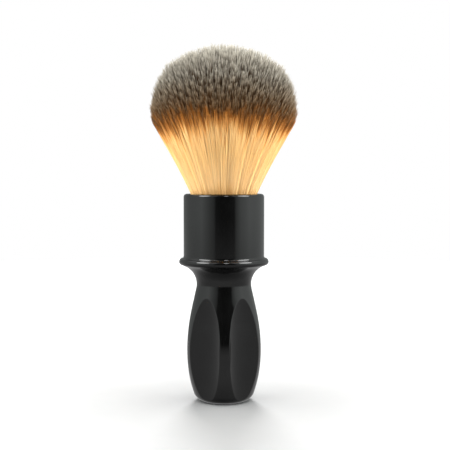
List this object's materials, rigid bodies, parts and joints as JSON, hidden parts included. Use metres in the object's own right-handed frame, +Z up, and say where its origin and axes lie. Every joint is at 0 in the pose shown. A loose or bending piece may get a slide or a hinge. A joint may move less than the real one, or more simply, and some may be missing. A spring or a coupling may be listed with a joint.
{
  "type": "shaving brush",
  "caption": "Upright shaving brush: a gloss turned handle with milled finger flutes and a collar bead holds a flared, dome-headed fibre knot that bends and springs back.",
  "frame": {"origin": "centre of the flat foot, on the handle's axis", "axes": "+Z up the handle's axis towards the fibre tips; -Y is the side of a ridge between two flutes"},
  "size_m": [0.0522, 0.0522, 0.1254],
  "materials": {
    "handle_resin": "polished black resin",
    "foot_pad": "matt black disc",
    "spacer_rubber": "grey rubber",
    "adhesive": "cured epoxy, yellowish",
    "collar_nylon": "natural nylon",
    "root_resin": "amber casting resin",
    "thread": "white waxed thread",
    "fibre_amber": "smooth amber synthetic fibre",
    "fibre_dark": "brown-black dyed fibre",
    "fibre_grey": "pale grey fibre tips"
  },
  "bodies": {
    "handle": {"handle": "handle_resin", "foot_disc": "foot_pad", "loft_spacer": "spacer_rubber", "epoxy_bed": "adhesive", "knot_collar": "collar_nylon", "root_plug": "root_resin", "binding_thread": "thread", "fibre_roots": "fibre_amber"},
    "tuft_shafts": {"fibre_shafts": "fibre_amber"},
    "tuft_head": {"fibre_shafts_upper": "fibre_amber", "fibre_band": "fibre_dark", "fibre_tips": "fibre_grey"}
  },
  "joints": [
    {"name": "tuft_bend_side", "type": "hinge", "parent": "handle", "child": "tuft_shafts", "pos_m": [0, 0, 0.0731], "axis": [0, 1, 0], "range_deg": [-20, 20], "stiffness_Nm_per_rad": 0.3, "deforming": ["fibre_shafts"]},
    {"name": "tuft_bend_front", "type": "hinge", "parent": "tuft_shafts", "child": "tuft_head", "pos_m": [0, 0, 0.0859], "axis": [1, 0, 0], "range_deg": [-20, 20], "stiffness_Nm_per_rad": 0.2, "deforming": ["fibre_shafts"]}
  ]
}
